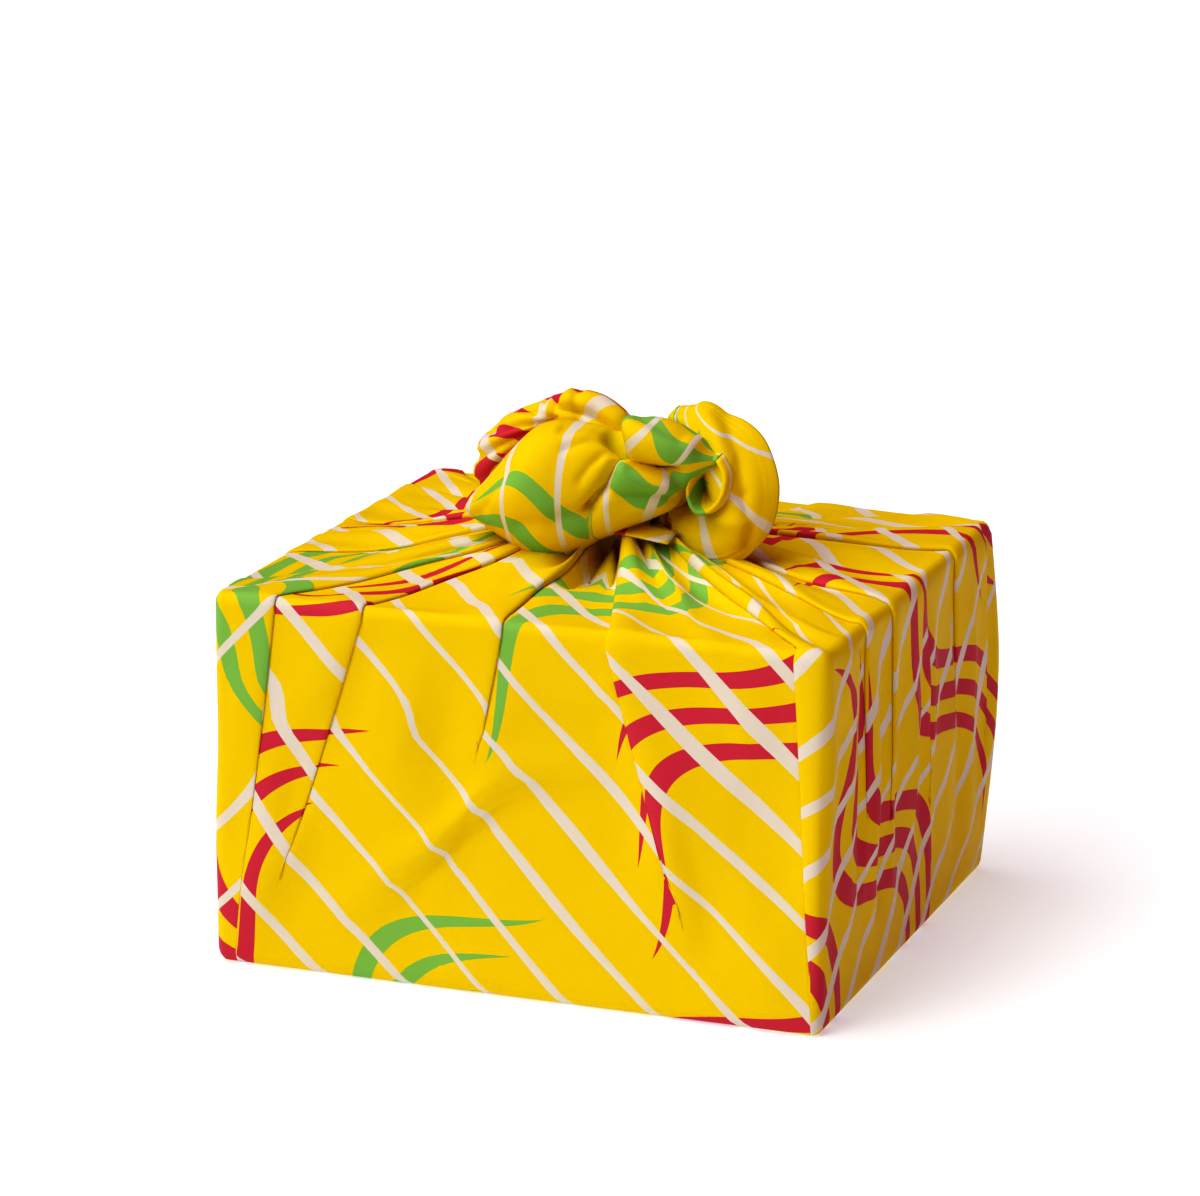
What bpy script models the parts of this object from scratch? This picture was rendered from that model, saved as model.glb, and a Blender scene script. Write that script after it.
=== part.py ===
"""Furoshiki wrap: a square of cotton sateen round a lidded gift box, tied on top in a square knot.

The cloth is one solid. Its wrap is a loft round the box: each column of the loft runs from the foot of a
wall, up it, over the top edge and in to the neck under the knot, and the pleats are rows of a table.
Lengths are in millimetres and are turned into metres where points are made.
The front looks along -Y, +X is to its right, and the origin is at the middle of the foot.
"""

import math

import bmesh
import bpy
from mathutils import Vector

MM = 0.001

# Driving sizes of the wrapped box, over the cloth.
WRAP_WIDTH = 200.0
WRAP_DEPTH = 183.0
WRAP_HEIGHT = 120.5
CLOTH = 1.2  # the sheet, where it lies single
EDGE_RADIUS = 4.0  # how softly the cloth turns over the box's edges
CORNER_START = 1.0  # the least radius of a corner, where the flat foot and top begin
BOX_CLEARANCE = 2.0  # the cloth stands this far off the box's edges
BOX_LIFT = 0.3  # the box lies this far above the cloth under it

# The neck, where the gathers meet under the knot.
NECK = (1.0, -1.0)
NECK_RADII = (21.0, 14.0)
NECK_RISE = 12.5  # the gathers climb this far from the top edge to the neck
TENT = 1.7  # how hollow the climb is: 1 is straight
NECK_COLLAR = 5.0  # and then stand up this far inside the knot

# The four faces in the order that the loft goes round: the half length of each, and the place of its middle.
HALF_WIDTH = WRAP_WIDTH / 2 - EDGE_RADIUS
HALF_DEPTH = WRAP_DEPTH / 2 - EDGE_RADIUS
HALF_LENGTHS = {"front": HALF_WIDTH, "right": HALF_DEPTH, "back": HALF_WIDTH, "left": HALF_DEPTH}
MIDDLES = {
    "front": HALF_WIDTH,
    "right": 2 * HALF_WIDTH + HALF_DEPTH,
    "back": 3 * HALF_WIDTH + 2 * HALF_DEPTH,
    "left": 4 * HALF_WIDTH + 3 * HALF_DEPTH,
}
ROUND = 4 * (HALF_WIDTH + HALF_DEPTH)

# Each pleat or gather. edge: where it crosses the top edge, from the face's middle, going round.
# drift: how far it has moved round by the foot of the wall. lift: the height of its step at the top edge,
# and gather at the neck. lap: 1 where the upper layer lies after the step, -1 where it lies before it,
# 0 for a soft ridge. foot: the height on the wall where it dies out.
PLEATS = (
    # face, edge, drift, lift, gather, lap, foot
    ("front", -76, -13, 2.0, 2.0, -1, 22),
    ("front", -48, -34, 2.6, 3.0, -1, 24),
    ("front", -4, -20, 2.2, 4.5, -1, 78),
    ("front", 29, 32, 2.8, 4.5, 1, 26),
    ("front", 60, 24, 1.2, 3.0, 0, 88),
    ("front", 86, 7, 2.0, 3.0, 1, 4),
    ("right", -70, 0, 2.0, 2.0, 0, 92),
    ("right", -50, 3, 2.4, 2.6, 1, 52),
    ("right", -24, 2, 2.4, 3.0, 1, 44),
    ("right", 7, 20, 2.8, 2.6, -1, 36),
    ("right", 44, 8, 2.4, 3.0, 1, 38),
    ("right", 74, 2, 2.2, 2.2, -1, 40),
    ("back", -74, -12, 2.0, 2.6, -1, 22),
    ("back", -40, -26, 2.4, 3.4, -1, 30),
    ("back", -8, -8, 2.0, 3.0, -1, 74),
    ("back", 26, 24, 2.4, 3.4, 1, 34),
    ("back", 58, 20, 2.0, 2.8, 1, 60),
    ("back", 84, 7, 2.0, 2.4, 1, 6),
    ("left", -62, -6, 2.2, 2.6, 1, 50),
    ("left", -36, -4, 2.0, 3.0, 0, 70),
    ("left", -12, -10, 2.4, 2.8, -1, 40),
    ("left", 10, 6, 2.4, 3.0, 1, 46),
    ("left", 34, 6, 2.2, 2.6, -1, 58),
    ("left", 70, 2, 2.2, 2.2, 1, 64),
)

# Across one pleat, the columns of the loft: how far each is from the step, and its share of the lift. A
# tucked column lies under the upper layer. The inside of the cloth is plain and keeps only the columns marked
# for it, so a pressed pleat is as thick as its three layers.
STEP_COLUMNS = (
    # place, tuck, lift, inside
    (-9.0, 0.0, 0.0, False),
    (-1.8, 0.2, 0.0, False),
    (-0.4, 2.4, 0.3, False),
    (0.5, -0.5, 0.75, True),
    (1.6, 0.0, 1.0, False),
    (9.0, 0.0, 0.55, False),
)
RIDGE_COLUMNS = (
    # place, tuck, lift, inside
    (-5.0, 0.0, 0.2, False),
    (0.0, 0.0, 1.0, True),
    (5.0, 0.0, 0.2, False),
)
CORNER_COLUMNS = (
    # place, tuck, lift, inside
    (-4.0, 0.0, 0.0, True),
    (-1.4, 0.0, 0.0, True),
    (1.4, 0.0, 0.0, True),
    (4.0, 0.0, 0.0, True),
)
PLEAT_FADE = 24.0  # a pleat has its full step this far below the top edge
SHORTEST_FADE = 12.0  # and takes at least this much of the wall to get it
PLEAT_REACH = 9.0  # how far a pleat's columns reach to each side
PLEAT_ROOM = 0.42  # and at most this share of the way to the next pleat
WIDEST_PLAIN = 26.0  # no wider stretch goes without a column

# The rows of the loft, from the foot up: turns round the foot in degrees, heights on the walls, turns over
# the top edge, and shares of the way in to the neck.
FOOT_TURNS = (90.0, 40.0)
WALL_HEIGHTS = (EDGE_RADIUS, 26.0, 52.0, 80.0, 102.0, WRAP_HEIGHT - EDGE_RADIUS)
EDGE_TURNS = (45.0, 90.0)
TOP_SHARES = (0.2, 0.42, 0.66, 0.85, 1.0)

# The right face's far end stands off the box over the folds tucked in there.
BULGE_AT = MIDDLES["right"] + HALF_DEPTH
BULGE_OUT = 4.0
BULGE_SPREAD = 34.0

# Front bight of the knot, from its mouth on the right to the hem of the left ear: a sheet bent round, with
# ribs of gathered cloth that run along it and fade into the ear.
FRONT_BIGHT = (
    # x, front y, back y, top z, low z, first turn, last turn, rib
    (39.0, -18, -9, 158, 150, 200, -140, 0.6),
    (33.0, -24, -7, 160.5, 147, 195, -130, 1.4),
    (25.0, -29, -6, 162, 141, 185, -118, 2.0),
    (15.0, -32, -6, 162, 136, 180, -108, 2.0),
    (4.0, -36, -6, 164, 131.0, 176, -98, 1.2),
    (-7.0, -40, -6, 167, 127, 172, -90, 0.3),
    (-17.0, -41, -5, 167, 126.5, 170, -80, 0.0),
    (-27.0, -38, -4, 163, 128, 168, -66, 0.0),
    (-35.0, -33, -4, 158, 130.5, 166, -52, 0.0),
    (-42.0, -25, -5, 151, 134, 164, -40, 0.0),
)
FRONT_BIGHT_TURNS = 12
RIB_COUNT = 5
EAR_SHEET = 2.0  # the ears' folded hem and cloth together

# Twist of cloth that crosses over the front bight, down to its mouth.
CROSSING = (
    # x, y, z, wide, deep
    (-9, -9, 163, 6, 5),
    (0, -16, 163.5, 7, 7),
    (11, -22, 159, 7, 7),
    (22, -24, 156, 6, 6),
    (32, -19, 155, 4.5, 4.5),
)

# Back bight of the knot: from the core, round on the left, over the top and down behind the right ear.
BACK_BIGHT = (
    # x, y, z, wide, deep
    (-6, 3, 136, 9, 9),
    (-26, 4, 135, 9.5, 9),
    (-41, 5, 141, 9, 9),
    (-40, 7, 152, 9, 9),
    (-31, 9, 160, 9.5, 9),
    (-17, 7, 163, 10, 9),
    (-3, 3, 159, 10, 8),
    (10, -2, 151, 9, 8),
)

# A gathered length has this many ridges, this deep as a share of its size, turned on by this at each station.
TWIST_RIDGES = 3
TWIST_DEPTH = 0.13
TWIST_TURN = 0.9

# Right ear: each line runs from the ear's root, through its hollow and over its ridge, out to the hem.
EAR_ROOT = (20.0, 0.0, 148.0)
EAR_HOLLOW = (31.0, 0.0, 147.0)
EAR_LINES = (
    # hem, ridge
    ((21, 2, 167), (20, -4, 160)),
    ((30, 3, 170), (26, -7, 163)),
    ((41, 2, 168.5), (31, -11, 161)),
    ((50, 0, 162), (35, -15, 157)),
    ((57, -5, 151), (39, -18, 151)),
    ((57.5, -11, 140), (42, -21, 145)),
    ((52, -17, 131), (44, -23, 139)),
    ((44, -20, 126.5), (42, -24, 133)),
    ((34, -18, 129), (35, -22, 133)),
    ((25, -12, 135), (27, -17, 138)),
)
EAR_START = 0.34  # each line starts this far from the root to its ridge
EAR_PASS = 0.72  # and passes the hollow this far toward its ridge
EAR_BULGE = 3.0  # the ear swells forward between its ridge and its hem

# The packed heart of the knot, the folded tip of cloth under it, and the hollow between two pleats in front.
CORE_PLACE = (3.0, -5.0, 144.0)
CORE_RADII = (26.0, 16.0, 14.0)
TAB_PLACE = (18.0, -20.5, 136.5)
TAB_SIZE = (20.0, 10.0, 1.8)
TAB_TILT = math.radians(18)
TAB_TURN = math.radians(-12)
HOLLOW_PLACE = (9.0, -28.0, 127.0)
HOLLOW_RADII = (7.0, 4.0, 12.0)


def smooth(share):
    """A share from 0 to 1, eased at both ends."""
    share = min(max(share, 0.0), 1.0)
    return share * share * (3 - 2 * share)


def blend(at, places, values):
    """The value at a place, on straight lines between the given ones."""
    if at <= places[0]:
        return values[0]
    for low, high, first, last in zip(places, places[1:], values, values[1:]):
        if at <= high:
            return first + (last - first) * (at - low) / (high - low)
    return values[-1]


def round_the_box(place):
    """The point of the inset rectangle at a place round it, and the outward direction there."""
    place %= ROUND
    corners = ((-1, -1), (1, -1), (1, 1), (-1, 1))
    start = 0.0
    for index, face in enumerate(HALF_LENGTHS):
        length = 2 * HALF_LENGTHS[face]
        if place <= start + length:
            break
        start += length
    along = place - start
    first = Vector(corners[index])
    last = Vector(corners[(index + 1) % 4])
    halves = Vector((HALF_WIDTH, HALF_DEPTH))
    turn = math.radians(90 * (index - 1))
    if along < EDGE_RADIUS:
        turn -= math.radians(45) * (1 - along / EDGE_RADIUS)
        share = 0.0
    elif along > length - EDGE_RADIUS:
        turn += math.radians(45) * (1 - (length - along) / EDGE_RADIUS)
        share = 1.0
    else:
        share = (along - EDGE_RADIUS) / (length - 2 * EDGE_RADIUS)
    point = first.lerp(last, share) * halves
    return point, Vector((math.cos(turn), math.sin(turn)))


def all_folds():
    """Every pleat and corner in order round the box: place, drift, lift, gather, lap and foot."""
    folds = [(MIDDLES[face] + edge, *rest) for face, edge, *rest in PLEATS]
    at = 0.0
    for face in HALF_LENGTHS:
        folds.append((at, 0.0, 0.0, 0.0, None, 0.0))
        at += 2 * HALF_LENGTHS[face]
    return sorted(folds, key=lambda fold: fold[0])


def loft_columns(folds):
    """Every column of the loft: its place, tuck, lift, gather and foot, and whether the inside has it too."""
    columns = []
    for index, (at, _, lift, gather, lap, foot) in enumerate(folds):
        before = (at - folds[index - 1][0]) % ROUND
        after = (folds[(index + 1) % len(folds)][0] - at) % ROUND
        table = {None: CORNER_COLUMNS, 0: RIDGE_COLUMNS}.get(lap, STEP_COLUMNS)
        side = -1 if lap == -1 else 1
        rows = []
        for place, tuck, share, inside in table:
            room = after if place * side > 0 else before
            squeeze = side * min(1.0, PLEAT_ROOM * room / PLEAT_REACH)
            rows.append((at + place * squeeze, tuck * squeeze, lift * share, gather * share, foot, inside))
        columns += sorted(rows)
        plain = after - 2 * PLEAT_REACH
        extra = int(plain // WIDEST_PLAIN)
        for step in range(extra):
            between = at + PLEAT_REACH + plain * (step + 1) / (extra + 1)
            columns.append((between, 0.0, 0.0, 0.0, 0.0, True))
    return columns


def drift_at(place, folds):
    """How far a place on the top edge has moved round by the foot of the wall."""
    places = [fold[0] for fold in folds] + [ROUND]
    values = [fold[1] for fold in folds] + [folds[0][1]]
    return blend(place % ROUND, places, values)


def wrap_point(place, lift, row, offset, folds):
    """A point of the wrap. offset is how far it lies inside the outer face of the flat cloth."""
    kind, value = row
    moved = place
    if kind == "wall":
        share = 1 - (value - EDGE_RADIUS) / (WRAP_HEIGHT - 2 * EDGE_RADIUS)
        moved += drift_at(place, folds) * share
    elif kind == "foot":
        moved += drift_at(place, folds)
    point, outward = round_the_box(moved)
    stand = lift - offset
    turned = EDGE_RADIUS - CORNER_START
    if kind == "foot":
        turn = math.radians(value)
        reach = CORNER_START + (turned + stand) * math.cos(turn)
        height = EDGE_RADIUS - (EDGE_RADIUS - offset) * math.sin(turn)
        return Vector((*(point + outward * reach), height))
    if kind == "wall":
        near = (moved - BULGE_AT + ROUND / 2) % ROUND - ROUND / 2
        bulge = BULGE_OUT * math.exp(-((near / BULGE_SPREAD) ** 2)) * math.sin(math.pi * value / WRAP_HEIGHT)
        return Vector((*(point + outward * (EDGE_RADIUS + stand + bulge)), value))
    if kind == "edge":
        turn = math.radians(value)
        reach = CORNER_START + (turned + stand) * math.cos(turn)
        height = WRAP_HEIGHT - EDGE_RADIUS + (EDGE_RADIUS + stand) * math.sin(turn)
        return Vector((*(point + outward * reach), height))
    centre = Vector(NECK)
    toward = (point + outward * EDGE_RADIUS - centre).normalized()
    ring = centre + Vector((toward.x * NECK_RADII[0], toward.y * NECK_RADII[1]))
    if kind == "top":
        start = point + outward * CORNER_START
        flat = start.lerp(ring, value) - toward * offset * value**4
        return Vector((*flat, WRAP_HEIGHT + NECK_RISE * value**TENT + stand))
    flat = ring - toward * offset
    return Vector((*flat, WRAP_HEIGHT + NECK_RISE + value))


def step_height(row, lift, gather, foot):
    """The height of a column's step in a row of the loft."""
    kind, value = row
    if kind == "top":
        return lift + (gather - lift) * value
    if kind == "neck":
        return gather
    height = {"foot": EDGE_RADIUS, "wall": value}.get(kind, WRAP_HEIGHT)
    return lift * smooth((height - foot) / max(WRAP_HEIGHT - PLEAT_FADE - foot, SHORTEST_FADE))


def tuck_share(row, foot):
    """How much of a column's tuck is left in a row: it fades down the wall and in to the neck."""
    kind, value = row
    if kind in ("top", "neck"):
        return max(1 - value, 0.0)
    return step_height(row, 1.0, 1.0, foot)


def new_object(name, mesh_data, collection):
    """An object in the given collection."""
    obj = bpy.data.objects.new(name, mesh_data)
    collection.objects.link(obj)
    return obj


def mesh_from(bm, name):
    """The finished mesh of a bmesh, with its faces pointing out."""
    bmesh.ops.recalc_face_normals(bm, faces=bm.faces)
    data = bpy.data.meshes.new(name)
    bm.to_mesh(data)
    bm.free()
    return data


def strip(bm, lower, upper, closed):
    """Faces between two lines of points."""
    count = len(lower)
    for index in range(count if closed else count - 1):
        after = (index + 1) % count
        bm.faces.new((lower[index], lower[after], upper[after], upper[index]))


def make_wrap(collection):
    """The cloth round the box, from the flat foot to the neck, as a closed wall open at the neck."""
    rows = [("foot", turn) for turn in FOOT_TURNS]
    rows += [("wall", height) for height in WALL_HEIGHTS]
    rows += [("edge", turn) for turn in EDGE_TURNS]
    rows += [("top", share) for share in TOP_SHARES]
    rows += [("neck", NECK_COLLAR)]
    folds = all_folds()
    columns = loft_columns(folds)
    lined = [index for index, column in enumerate(columns) if column[-1]]
    bm = bmesh.new()
    outer, inner = [], []
    for row in rows:
        outside_ring, inside_ring = [], []
        for place, tuck, lift, gather, foot, inside in columns:
            height = step_height(row, lift, gather, foot)
            tucked = place + tuck * tuck_share(row, foot)
            outside_ring.append(bm.verts.new(wrap_point(tucked, height, row, 0.0, folds) * MM))
            if inside:
                inside_ring.append(bm.verts.new(wrap_point(place, 0.0, row, CLOTH, folds) * MM))
        outer.append(outside_ring)
        inner.append(inside_ring)
    for rings in (outer, inner):
        for lower, upper in zip(rings, rings[1:]):
            strip(bm, lower, upper, closed=True)
        bm.faces.new(rings[0])
    for index, (first, last) in enumerate(zip(lined, lined[1:] + [lined[0] + len(columns)])):
        rim = [outer[-1][at % len(columns)] for at in range(first, last + 1)]
        bm.faces.new((inner[-1][index], inner[-1][(index + 1) % len(lined)], *reversed(rim)))
    return new_object("furoshiki_cloth", mesh_from(bm, "wrap"), collection)


def soften(obj):
    """One step of subdivision, the same in the view and in a render."""
    subdivision = obj.modifiers.new("soft", "SUBSURF")
    subdivision.levels = 1
    subdivision.render_levels = 1


def make_twist(name, stations, sides, collection):
    """A gathered length of cloth: a loft of ridged ovals along a line of stations."""
    bm = bmesh.new()
    points = [Vector(station[:3]) for station in stations]
    rings = []
    for index, (point, station) in enumerate(zip(points, stations)):
        before = points[max(index - 1, 0)]
        after = points[min(index + 1, len(points) - 1)]
        along = (after - before).normalized()
        across = along.cross(Vector((0, 1, 0.2))).normalized()
        other = along.cross(across)
        ring = []
        for side in range(sides):
            turn = 2 * math.pi * side / sides
            ridge = 1 + TWIST_DEPTH * math.cos(TWIST_RIDGES * turn + TWIST_TURN * index)
            offset = across * math.cos(turn) * station[3] + other * math.sin(turn) * station[4]
            ring.append(bm.verts.new((point + offset * ridge) * MM))
        rings.append(ring)
    for lower, upper in zip(rings, rings[1:]):
        strip(bm, lower, upper, closed=True)
    bm.faces.new(rings[0])
    bm.faces.new(rings[-1])
    obj = new_object(name, mesh_from(bm, name), collection)
    soften(obj)
    return obj


def make_sheet(name, grid, thickness, collection):
    """A bent sheet from a grid of points, given its thickness by Solidify."""
    bm = bmesh.new()
    lines = [[bm.verts.new(point * MM) for point in line] for line in grid]
    for lower, upper in zip(lines, lines[1:]):
        strip(bm, lower, upper, closed=False)
    obj = new_object(name, mesh_from(bm, name), collection)
    soften(obj)
    solidify = obj.modifiers.new("sheet", "SOLIDIFY")
    solidify.thickness = thickness * MM
    solidify.offset = 0.0
    return obj


def front_bight_grid():
    """Points of the front bight: at each station, from behind, over the top, to the hem or the under roll."""
    grid = []
    for x, front, back, top, low, first, last, rib in FRONT_BIGHT:
        middle = Vector((x, (front + back) / 2, (top + low) / 2))
        line = []
        for step in range(FRONT_BIGHT_TURNS + 1):
            share = step / FRONT_BIGHT_TURNS
            turn = math.radians(first + (last - first) * share)
            out = rib * math.cos(math.pi * RIB_COUNT * share)
            depth = (back - front) / 2 + out
            height = (top - low) / 2 + out
            line.append(middle + Vector((0, -depth * math.cos(turn), height * math.sin(turn))))
        grid.append(line)
    return grid


def right_ear_grid():
    """Points of the right ear: lines from its root, over its ridge, to its hem."""
    root = Vector(EAR_ROOT)
    hollow = Vector(EAR_HOLLOW)
    grid = []
    for hem, ridge in EAR_LINES:
        hem, ridge = Vector(hem), Vector(ridge)
        swell = ridge.lerp(hem, 0.5) + Vector((0, -EAR_BULGE, 0))
        grid.append([root.lerp(ridge, EAR_START), hollow.lerp(ridge, EAR_PASS), ridge, swell, hem])
    return grid


def make_lump(name, place, radii, collection):
    """A rounded lump of packed cloth."""
    bm = bmesh.new()
    bmesh.ops.create_uvsphere(bm, u_segments=14, v_segments=9, radius=1.0)
    for vert in bm.verts:
        vert.co = Vector([(c * r + p) * MM for c, r, p in zip(vert.co, radii, place)])
    return new_object(name, mesh_from(bm, name), collection)


def make_tab(name, collection):
    """The folded tip of cloth that shows under the knot."""
    bm = bmesh.new()
    bmesh.ops.create_cube(bm, size=1.0)
    for vert in bm.verts:
        vert.co = Vector([c * s * MM for c, s in zip(vert.co, TAB_SIZE)])
    obj = new_object(name, mesh_from(bm, name), collection)
    obj.location = Vector(TAB_PLACE) * MM
    obj.rotation_euler = (TAB_TILT, 0, TAB_TURN)
    return obj


def boolean(obj, other, operation):
    """One exact cut or union, left on the object."""
    modifier = obj.modifiers.new(other.name, "BOOLEAN")
    modifier.object = other
    modifier.operation = operation
    modifier.solver = "EXACT"


def make_box(collection):
    """The lidded gift box, plain."""
    low = CLOTH + BOX_LIFT
    high = WRAP_HEIGHT - CLOTH - BOX_CLEARANCE
    inset = CLOTH + BOX_CLEARANCE
    size = (WRAP_WIDTH - 2 * inset, WRAP_DEPTH - 2 * inset, high - low)
    bm = bmesh.new()
    bmesh.ops.create_cube(bm, size=1.0)
    for vert in bm.verts:
        vert.co = Vector([c * s * MM for c, s in zip(vert.co, size)])
    obj = new_object("gift_box", mesh_from(bm, "gift_box"), collection)
    obj.location = (0, 0, (low + high) / 2 * MM)
    bevel = obj.modifiers.new("corners", "BEVEL")
    bevel.width = 1.5 * MM
    bevel.segments = 2
    return obj


def material(name, colour, roughness):
    """A plain finish."""
    made = bpy.data.materials.new(name)
    made.use_nodes = True
    shader = made.node_tree.nodes["Principled BSDF"]
    shader.inputs["Base Color"].default_value = (*colour, 1.0)
    shader.inputs["Roughness"].default_value = roughness
    shader.inputs["Metallic"].default_value = 0.0
    return made


for old in list(bpy.data.objects):
    bpy.data.objects.remove(old, do_unlink=True)

parts = bpy.data.collections.new("furoshiki_wrap")
helpers = bpy.data.collections.new("knot_pieces")
for made_collection in (parts, helpers):
    bpy.context.scene.collection.children.link(made_collection)

cloth = make_wrap(parts)
hollow = make_lump("hollow", HOLLOW_PLACE, HOLLOW_RADII, helpers)
boolean(cloth, hollow, "DIFFERENCE")
knot = [
    make_lump("core", CORE_PLACE, CORE_RADII, helpers),
    make_twist("back_bight", BACK_BIGHT, 12, helpers),
    make_sheet("front_bight", front_bight_grid(), EAR_SHEET, helpers),
    make_twist("crossing", CROSSING, 10, helpers),
    make_sheet("right_ear", right_ear_grid(), EAR_SHEET, helpers),
    make_tab("tab", helpers),
]
for piece in knot:
    boolean(cloth, piece, "UNION")
for helper in helpers.objects:
    helper.hide_render = True
    helper.display_type = "WIRE"
cloth.data.materials.append(material("cotton_sateen", (0.91, 0.64, 0.01), 0.45))

box = make_box(parts)
box.data.materials.append(material("cardboard", (0.62, 0.47, 0.30), 0.85))

for obj in parts.objects:
    obj.data.shade_smooth()
    obj.data.set_sharp_from_angle(angle=math.radians(40))
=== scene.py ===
"""Furoshiki wrap on a gift box: a printed cotton square folded up round a lidded box and tied on top.

The front looks along -Y, +X is to its right and the origin is at the middle of the foot. Tables are in
millimetres; points are turned into metres where the mesh is made.
"""

import math

import bpy
import numpy as np
from mathutils import Matrix, Vector


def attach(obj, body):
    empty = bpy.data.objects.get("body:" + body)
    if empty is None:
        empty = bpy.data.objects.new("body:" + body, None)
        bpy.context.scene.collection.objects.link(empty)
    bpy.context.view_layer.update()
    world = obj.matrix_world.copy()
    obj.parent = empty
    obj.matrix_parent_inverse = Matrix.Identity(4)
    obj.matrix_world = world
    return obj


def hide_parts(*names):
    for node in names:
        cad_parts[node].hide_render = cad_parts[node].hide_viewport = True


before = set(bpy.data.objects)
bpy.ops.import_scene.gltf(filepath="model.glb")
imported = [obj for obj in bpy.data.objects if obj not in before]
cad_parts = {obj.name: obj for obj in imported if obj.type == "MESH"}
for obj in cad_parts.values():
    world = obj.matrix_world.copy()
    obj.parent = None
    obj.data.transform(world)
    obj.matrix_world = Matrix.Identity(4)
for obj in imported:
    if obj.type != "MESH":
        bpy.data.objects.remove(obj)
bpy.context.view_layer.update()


# ---------------------------------------------------------------------------------------------------------
# Gift box. A plain lidded carton of grey board covered with kraft paper. The cloth hides it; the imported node
# stays and only takes its finish here.


def new_material(name):
    """An empty node material with one principled shader."""
    made = bpy.data.materials.new(name)
    made.use_nodes = True
    return made, made.node_tree.nodes, made.node_tree.links, made.node_tree.nodes["Principled BSDF"]


def noise(place, scale, detail):
    """A noise over a place socket; gives its output."""
    made = nodes.new("ShaderNodeTexNoise")
    made.inputs["Scale"].default_value = scale
    made.inputs["Detail"].default_value = detail
    links.new(place, made.inputs["Vector"])
    return made.outputs["Fac"]


def bump(height, strength, distance, under=None):
    """A bump from a height socket, over another bump's normal if there is one; gives its normal."""
    made = nodes.new("ShaderNodeBump")
    made.inputs["Strength"].default_value = strength
    made.inputs["Distance"].default_value = distance
    links.new(height, made.inputs["Height"])
    if under is not None:
        links.new(under, made.inputs["Normal"])
    return made.outputs["Normal"]


cardboard, nodes, links, shader = new_material("kraft_cardboard")
fibres = noise(nodes.new("ShaderNodeTexCoord").outputs["Object"], 900.0, 6.0)
tone = nodes.new("ShaderNodeValToRGB")
tone.color_ramp.elements[0].color = (0.36, 0.24, 0.13, 1)
tone.color_ramp.elements[1].color = (0.52, 0.37, 0.22, 1)
links.new(fibres, tone.inputs["Fac"])
links.new(tone.outputs["Color"], shader.inputs["Base Color"])
links.new(bump(fibres, 0.15, 0.0002), shader.inputs["Normal"])
shader.inputs["Roughness"].default_value = 0.85
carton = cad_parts["gift_box"]
carton.data.materials.clear()
carton.data.materials.append(cardboard)


# ---------------------------------------------------------------------------------------------------------
# The cloth round the box: a 68 cm square, cornerwise. Its front and back corners are folded over the lid; its
# wings come up over them, round the upright edges, and are gathered to the neck. The mesh is a loft from the
# foot up and in; each pleat is three layers of the one sheet, and what the layers hide moves the print on.

MM = 0.001
WRAP_WIDTH = 200.0
WRAP_DEPTH = 183.0
WRAP_HEIGHT = 120.5
EDGE_RADIUS = 4.0
CORNER_START = 1.0  # how far out of the inset rectangle the cloth's rounding starts
THREAD = 0.5  # the sheet's thickness
NECK = np.array((1.0, -1.0))
NECK_RADII = np.array((21.0, 14.0))
NECK_RISE = 12.5
NECK_COLLAR = 5.0  # the upright stretch in under the knot
NECK_KEEPS = 0.3  # the share of a pleat's lift that is left there
TENT = 1.7  # over 1, the gathers rise late on their way in
KEPT_SLANT = 0.35  # the share of a gather's slant that the print keeps

HALF_WIDTH = WRAP_WIDTH / 2 - EDGE_RADIUS
HALF_DEPTH = WRAP_DEPTH / 2 - EDGE_RADIUS
FACES = ("front", "right", "back", "left")
FACE_ALONG = np.array(((1, 0), (0, 1), (-1, 0), (0, -1)), float)
FACE_INWARD = np.array(((0, 1), (-1, 0), (0, -1), (1, 0)), float)
HALF_LENGTHS = (HALF_WIDTH, HALF_DEPTH, HALF_WIDTH, HALF_DEPTH)
ROUND = 4 * (HALF_WIDTH + HALF_DEPTH)
MIDDLES = {
    "front": HALF_WIDTH,
    "right": 2 * HALF_WIDTH + HALF_DEPTH,
    "back": 3 * HALF_WIDTH + 2 * HALF_DEPTH,
    "left": 4 * HALF_WIDTH + 3 * HALF_DEPTH,
}
CORNER_PLACES = (0.0, 2 * HALF_WIDTH, 2 * (HALF_WIDTH + HALF_DEPTH), 4 * HALF_WIDTH + 2 * HALF_DEPTH)

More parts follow.
